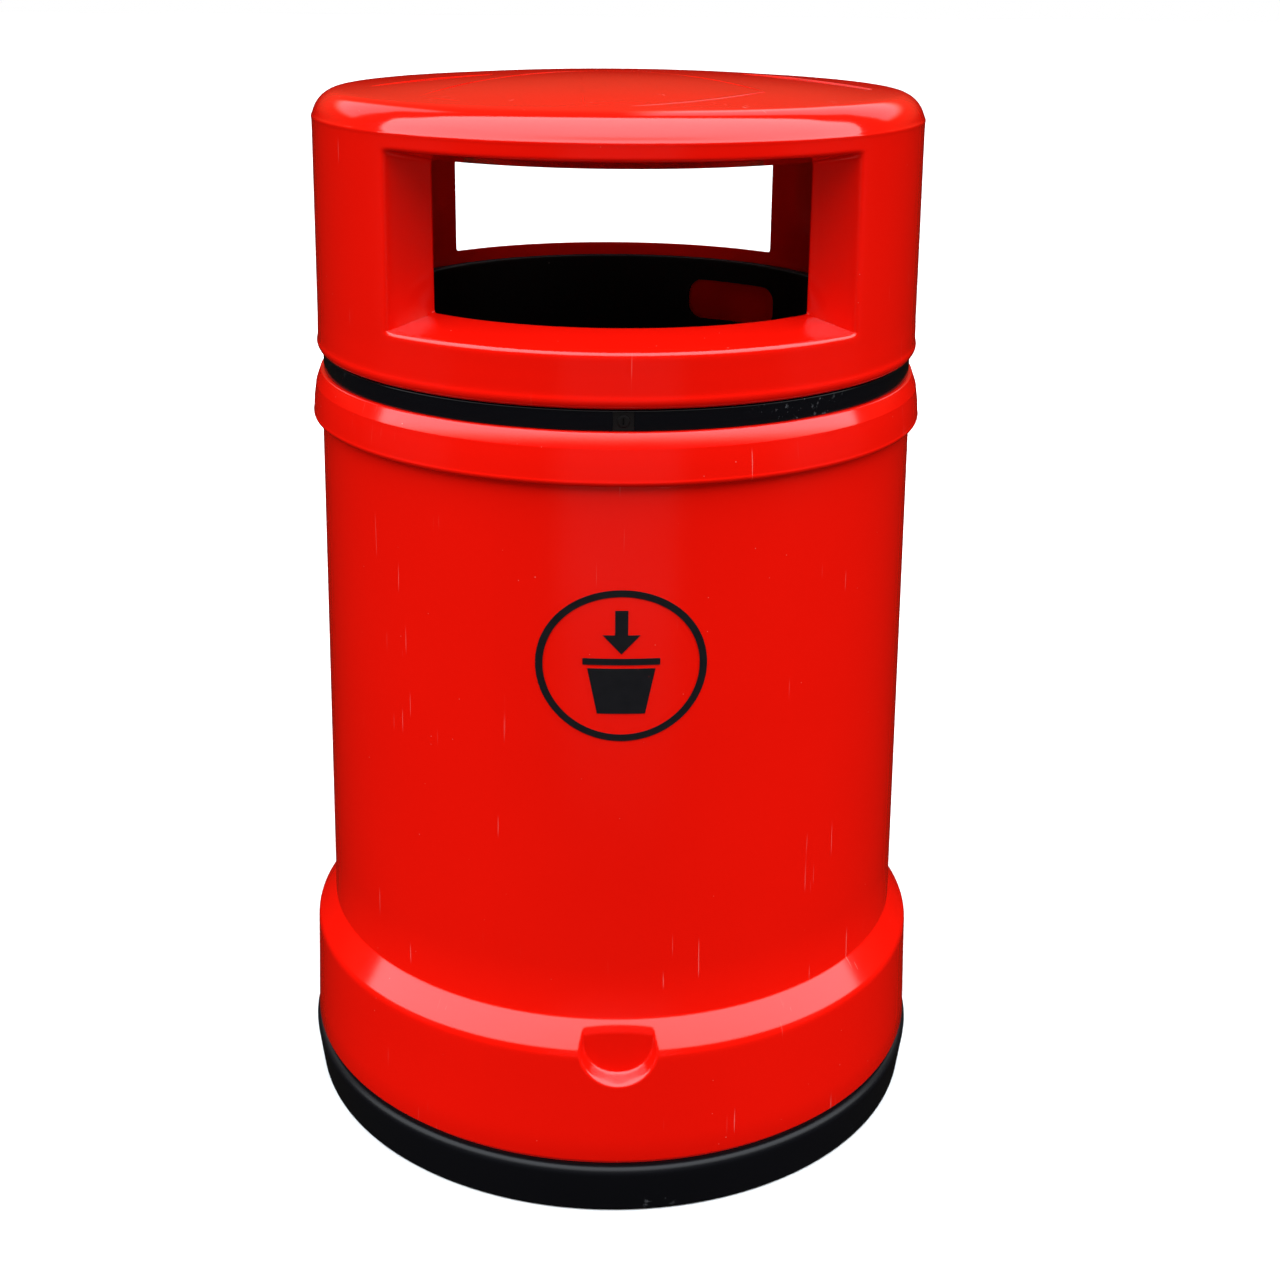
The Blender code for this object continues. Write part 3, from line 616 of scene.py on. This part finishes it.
def make_body(finish):
    """The body, turned from one closed outline, then pressed at the notch."""
    # floor and skirt
    outline = [(0, 0.0493), (0.2900, 0.0493), (0.3015, 0.0493), (0.3015, 0.0544), (0.3062, 0.0544)]
    outline += ring_arc((0.3062, 0.0562), 0.0018, -90, 0, 4)
    outline = filled(outline, 0.02) + filled([(0.3080, 0.0562), (0.3056, 0.1250)], 0.03)[1:]
    # the skirt's top and the ledge, in fine steps for the notch
    fine = [(0.3056, 0.1250), (0.30465, 0.1585)] + ring_arc((0.2901, 0.1585), 0.0145, 2, 34.3, 8)
    fine += [(0.2868, 0.1893)]
    outline += filled(fine, 0.0009)[1:]
    # plain wall, collar and rim
    outline += ring_arc((0.2880, 0.1912), 0.0020, 213, 181, 3)
    outline += filled([(0.2859, 0.1915), (0.2804, 0.6868)], 0.05)
    outline += ring_arc((0.2810, 0.6870), 0.0006, 180, 90, 2)
    outline += ring_arc((0.2844, 0.6921), 0.0044, -82, 5, 8)
    outline += [(0.28845, 0.6932), (0.28835, 0.6940), (0.28775, 0.7040), (0.2863, 0.7140)]
    outline += ring_arc((0.2824, 0.7188), 0.0032, 6, 22.5, 5)
    outline += ring_arc((0.2798, 0.7309), 0.0015, 22.5, 85, 4)
    outline += [(0.2770, 0.7327), (0.2700, 0.7327)]
    # back down the inside
    outline += [(0.2700, 0.7277), (0.2790, 0.7277), (0.2820, 0.6980), (0.2754, 0.6882)]
    outline += filled([(0.2754, 0.6882), (0.2808, 0.1872)], 0.06)[1:]
    outline += filled([(0.2808, 0.1872), (0.2996, 0.1560), (0.3006, 0.1250)], 0.002)[1:]
    outline += [(0.3028, 0.0624), (0.2895, 0.0543), (0, 0.0543)]
    near = 9.5             # degrees either side of the notch that have fine stops
    turns = [-near + 2 * near * i / 100 for i in range(101)]
    turns += [near + (360 - 2 * near) * i / 170 for i in range(1, 171)]
    bm = bmesh.new()
    carried(bm, outline, turns)
    bmesh.ops.remove_doubles(bm, verts=bm.verts, dist=MERGE)
    press_notch(bm)
    body = placed("body_moulding", bm, finish)
    seat = block((-SEAT_HALF, 0.2855, 0.6800), (SEAT_HALF, 0.3200, 0.7400), SEAT_EDGE)
    carved(body, seat)
    return body


# ---------------------------------------------------------------- neck, liner and base
HAND_HOLE_TURN = 144
HAND_HOLE_HEIGHT = 0.7556
BOLT_CIRCLE = 0.235


def make_neck(finish):
    """The black band with its upstand, and the lock's window in its front."""
    outline = [(0.2690, 0.7332), (0.2774, 0.7330)] + ring_arc((0.2774, 0.7336), 0.0006, -90, 0, 3)
    outline += ring_arc((0.2770, 0.7493), 0.0010, 0, 90, 4)
    outline += ring_arc((0.2737, 0.7510), 0.0007, 270, 180, 3)
    outline += ring_arc((0.2722, 0.7712), 0.0008, 0, 90, 3)
    outline += ring_arc((0.2698, 0.7712), 0.0008, 90, 180, 3) + [(0.2690, 0.7332)]
    neck = placed("neck_moulding", turned(outline, 192), finish)
    return carved(neck, block((-0.0090, -0.30, 0.7200), (0.0090, -0.25, 0.7494), 0.0006))


def make_liner(finish):
    """The tapered liner with a rolled rim and two hand holes."""
    outline = [(0, 0.0588), (0.1780, 0.0588), (0.1800, 0.0582), (0.1820, 0.0548)]
    outline += [(0.1950, 0.0548)] + ring_arc((0.1957, 0.0590), 0.0042, -85, -4, 5)
    outline += filled([(0.2000, 0.0610), (0.2176, 0.7860)], 0.05)
    outline += ring_arc((0.2196, 0.7872), 0.0020, 180, 100, 4)
    outline += ring_arc((0.2240, 0.7905), 0.0015, -70, 0, 3) + [(0.2256, 0.7930)]
    outline += ring_arc((0.2235, 0.7955), 0.0025, 0, 90, 5)
    outline += ring_arc((0.2172, 0.7955), 0.0025, 90, 180, 5)
    outline += filled([(0.2147, 0.7900), (0.1970, 0.0660)], 0.05)
    outline += ring_arc((0.1930, 0.0658), 0.0040, -5, -88, 4) + [(0.1700, 0.0618), (0, 0.0618)]
    liner = placed("liner_moulding", turned(outline, 160), finish)
    holes = []
    for turn in (HAND_HOLE_TURN, HAND_HOLE_TURN - 180):
        hole = prism(rounded_outline(0.104, 0.041, 0.015), 0.11)
        out = Matrix.Translation((0, -0.26, HAND_HOLE_HEIGHT))
        place = Matrix.Rotation(math.radians(turn), 4, "Z") @ out
        bmesh.ops.transform(hole, matrix=place, verts=hole.verts)
        holes.append(hole)
    return carved(liner, *holes)


def make_base(finish):
    """The foot: a round tray with four recessed bolt holes underneath."""
    outline = [(0, 0.0), (0.2300, 0.0), (0.3020, 0.0)]
    outline += ring_arc((0.3026, 0.0030), 0.0030, -88, -5, 4)
    outline += filled([(0.3058, 0.0040), (0.3105, 0.0400)], 0.02)
    outline += ring_arc((0.3037, 0.0420), 0.0070, 2, 90, 9)
    outline += [(0.2985, 0.0490), (0.2967, 0.0490)] + ring_arc((0.2967, 0.0483), 0.0007, 90, 180, 3)
    outline += [(0.2960, 0.0200), (0.2950, 0.0160), (0, 0.0160)]
    base = placed("base_moulding", turned(outline, 192), finish)
    recesses = []
    for turn in (45, 135, 225, 315):
        out = Matrix.Translation((BOLT_CIRCLE, 0, 0))
        place = Matrix.Rotation(math.radians(turn - 90), 4, "Z") @ out
        recess = bmesh.new()
        bmesh.ops.create_cone(recess, cap_ends=True, segments=48, radius1=0.0112, radius2=0.0110,
                              depth=0.0146, matrix=place)
        bore = bmesh.new()
        bmesh.ops.create_cone(bore, cap_ends=True, segments=32, radius1=0.0044, radius2=0.0044,
                              depth=0.08, matrix=place)
        recesses += [recess, bore]
    return carved(base, *recesses)


# ---------------------------------------------------------------- the badge
BADGE_HEIGHT = 0.5287      # its middle
FILM = 0.0004
FILM_LIFT = 0.0003         # from the wall to the back of the film
RING_INNER, RING_OUTER = 0.0622, 0.0682
RING_STRETCH = 0.0740 / RING_OUTER
BEND = 0.004               # width of the flats that film is bent in


def wall_radius(height):
    """Outer radius of the body's plain wall."""
    return 0.2859 - 0.0055 * (height - 0.1915) / 0.4953


def wrapped(bm):
    """Bends flat badge work, drawn in X and Z, round the front of the body."""
    for vert in bm.verts:
        height = vert.co.z
        radius = wall_radius(height) + FILM_LIFT + vert.co.y
        angle = vert.co.x / wall_radius(BADGE_HEIGHT)
        vert.co = (radius * math.sin(angle), -radius * math.cos(angle), height)
    return bm


def make_badge(finish):
    """A ring round an open bin with an arrow pointing into it, as thin film."""
    band = [(RING_INNER, 0.0), (RING_OUTER, 0.0), (RING_OUTER, FILM), (RING_INNER, FILM)]
    ring = joined(turned(band + band[:1], 144))
    upright = Matrix.Rotation(math.radians(-90), 4, "X")
    oval = Matrix.Diagonal((RING_STRETCH, 1, 1, 1))
    place = Matrix.Translation((0, 0, BADGE_HEIGHT)) @ upright @ oval
    bmesh.ops.transform(ring, matrix=place, verts=ring.verts)
    pieces = [placed("ring_film", wrapped(ring), finish)]
    shapes = {
        "bin_film": [(-0.0290, -0.0020), (-0.0205, -0.0430), (0.0205, -0.0430), (0.0290, -0.0020)],
        "bin_rim_film": [(-0.0330, 0.0070), (-0.0330, 0.0012), (0.0330, 0.0012), (0.0330, 0.0070)],
        "arrow_film": [(-0.0055, 0.0500), (-0.0055, 0.0280), (-0.0160, 0.0280), (0.0, 0.0110),
                       (0.0160, 0.0280), (0.0055, 0.0280), (0.0055, 0.0500)]}
    for name, shape in shapes.items():
        flat = prism([(x, BADGE_HEIGHT + z) for x, z in shape], FILM)
        for step in range(-8, 9):
            parts = flat.verts[:] + flat.edges[:] + flat.faces[:]
            bmesh.ops.bisect_plane(flat, geom=parts, plane_co=(BEND * step, 0, 0),
                                   plane_no=(1, 0, 0))
        pieces.append(placed(name, wrapped(flat), finish))
    return pieces


# ---------------------------------------------------------------- the whole bin
def dress(node, finish):
    """Gives a CAD node that stays its better finish."""
    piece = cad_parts[node]
    piece.data.materials.clear()
    piece.data.materials.append(finish)


satin_red = make_red("satin_red", 0.0)
gloss_red = make_red("gloss_red", 1.0)
neck_black = make_black("neck_black", 0.10)
base_black = make_black("base_black", 0.30, foot=True)
liner_black = make_liner_black()
zinc = make_zinc()
concrete = make_concrete()
ink = make_ink()

hood = make_hood(gloss_red)
lines = make_top_lines(gloss_red)
body = make_body(satin_red)
neck = make_neck(neck_black)
liner = make_liner(liner_black)
base = make_base(base_black)
badge = make_badge(ink)

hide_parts("hood_shell")
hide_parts("body_shell")
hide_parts("neck_ring")
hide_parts("inner_liner")
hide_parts("base_plinth")
for piece, node in zip(badge, ("badge_ring", "badge_bin", "badge_bin_rim", "badge_arrow")):
    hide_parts(node)
    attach(piece, "bin_body")
for piece, carrier, slot in ((hood, "hood", "red_plastic"),
                             (lines, "hood", "red_plastic"),
                             (body, "bin_body", "red_plastic"),
                             (neck, "bin_body", "black_plastic"),
                             (liner, "liner", "liner_plastic"),
                             (base, "bin_body", "black_plastic")):
    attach(piece, carrier)
for node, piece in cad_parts.items():
    if piece.hide_render:
        continue
    if node in ("lock_housing", "lock_plug"):
        dress(node, liner_black)
    elif node == "ballast_slab":
        dress(node, concrete)
    else:
        dress(node, zinc)


# ---------------------------------------------------------------- floor, light and camera
floor_pale = Finish("floor_pale")
floor_pale.set(Base_Color=(0.85, 0.85, 0.85), Roughness=0.9)
floor_bm = bmesh.new()
bmesh.ops.create_grid(floor_bm, x_segments=1, y_segments=1, size=30.0)
floor = placed("floor", floor_bm, floor_pale.material)
floor.location.z = -0.0005
floor.visible_glossy = False
floor.visible_diffuse = False


BIN_MIDDLE = Vector((0, 0, 0.5))


def softbox(name, place, power):
    """A soft light that fills the shade and leaves no reflection."""
    light = bpy.data.lights.new(name, "AREA")
    light.size = 2.6
    light.energy = power
    lamp = bpy.data.objects.new(name, light)
    lamp.location = place
    lamp.rotation_mode = "QUATERNION"
    lamp.rotation_quaternion = (BIN_MIDDLE - Vector(place)).to_track_quat("-Z", "Y")
    lamp.visible_camera = False
    lamp.visible_glossy = False
    bpy.context.scene.collection.objects.link(lamp)


softbox("fill_left", (-3.6, -0.6, 1.2), 30)
softbox("fill_right", (3.6, -0.6, 1.2), 30)
softbox("fill_back", (0, 3.6, 1.6), 50)
softbox("fill_front", (0, -3.4, 0.5), 40)

# the studio: a wide soft light above the front, a weak one behind, a little haze, a white backdrop
COOL, WARM, WHITE = (0.88, 0.94, 1.0), (1.0, 0.75, 0.35), (1, 1, 1)
world = bpy.data.worlds.new("studio")
world.use_nodes = True
dome = Nodes(world.node_tree, "Generated")
x, y, z = (dome.part(axis) for axis in "XYZ")
front = (y - z * 0.17).under(0.12, 0.02) * (z + y * 0.4).over(0.20, 0.08)
behind = y.over(0.50, 0.03) * z.over(0.33, 0.05) * (x.over(0.05, 0.03) + x.under(-0.36, 0.04))
haze = y.over(0.1, 0.8) * z.over(0.10, 0.08) * 0.09 + 0.010
strength = front * (z * 1.5 + 2.7) + behind * 0.9 + haze
seen = dome.node("LightPath", output="Is Camera Ray")
strength = strength * (1 - seen) + seen
colour = dome.mix((front + behind + seen).maths("MINIMUM", 1.0), WARM, COOL)
colour = dome.mix(seen, colour, WHITE)
background = world.node_tree.nodes["Background"]
dome.feed(background.inputs["Color"], colour)
dome.feed(background.inputs["Strength"], strength)
bpy.context.scene.world = world
bpy.context.scene.view_settings.view_transform = "Standard"

AROUND = math.radians(1.3)
AWAY = 1.7235
DOWN = math.radians(17.13)
ROLL = 0.0082
camera_data = bpy.data.cameras.new("camera")
camera_data.lens = 51.43
camera_data.sensor_width = 36.0
camera_data.shift_x = 0.0195
camera_data.shift_y = -0.0999
camera = bpy.data.objects.new("camera", camera_data)
camera.location = (-AWAY * math.sin(AROUND), -AWAY * math.cos(AROUND), 1.1096)
tilt = Matrix.Rotation(-AROUND, 4, "Z") @ Matrix.Rotation(math.radians(90) - DOWN, 4, "X")
tilt = tilt @ Matrix.Rotation(ROLL, 4, "Z")
camera.rotation_euler = tilt.to_euler()
bpy.context.scene.collection.objects.link(camera)
bpy.context.scene.camera = camera
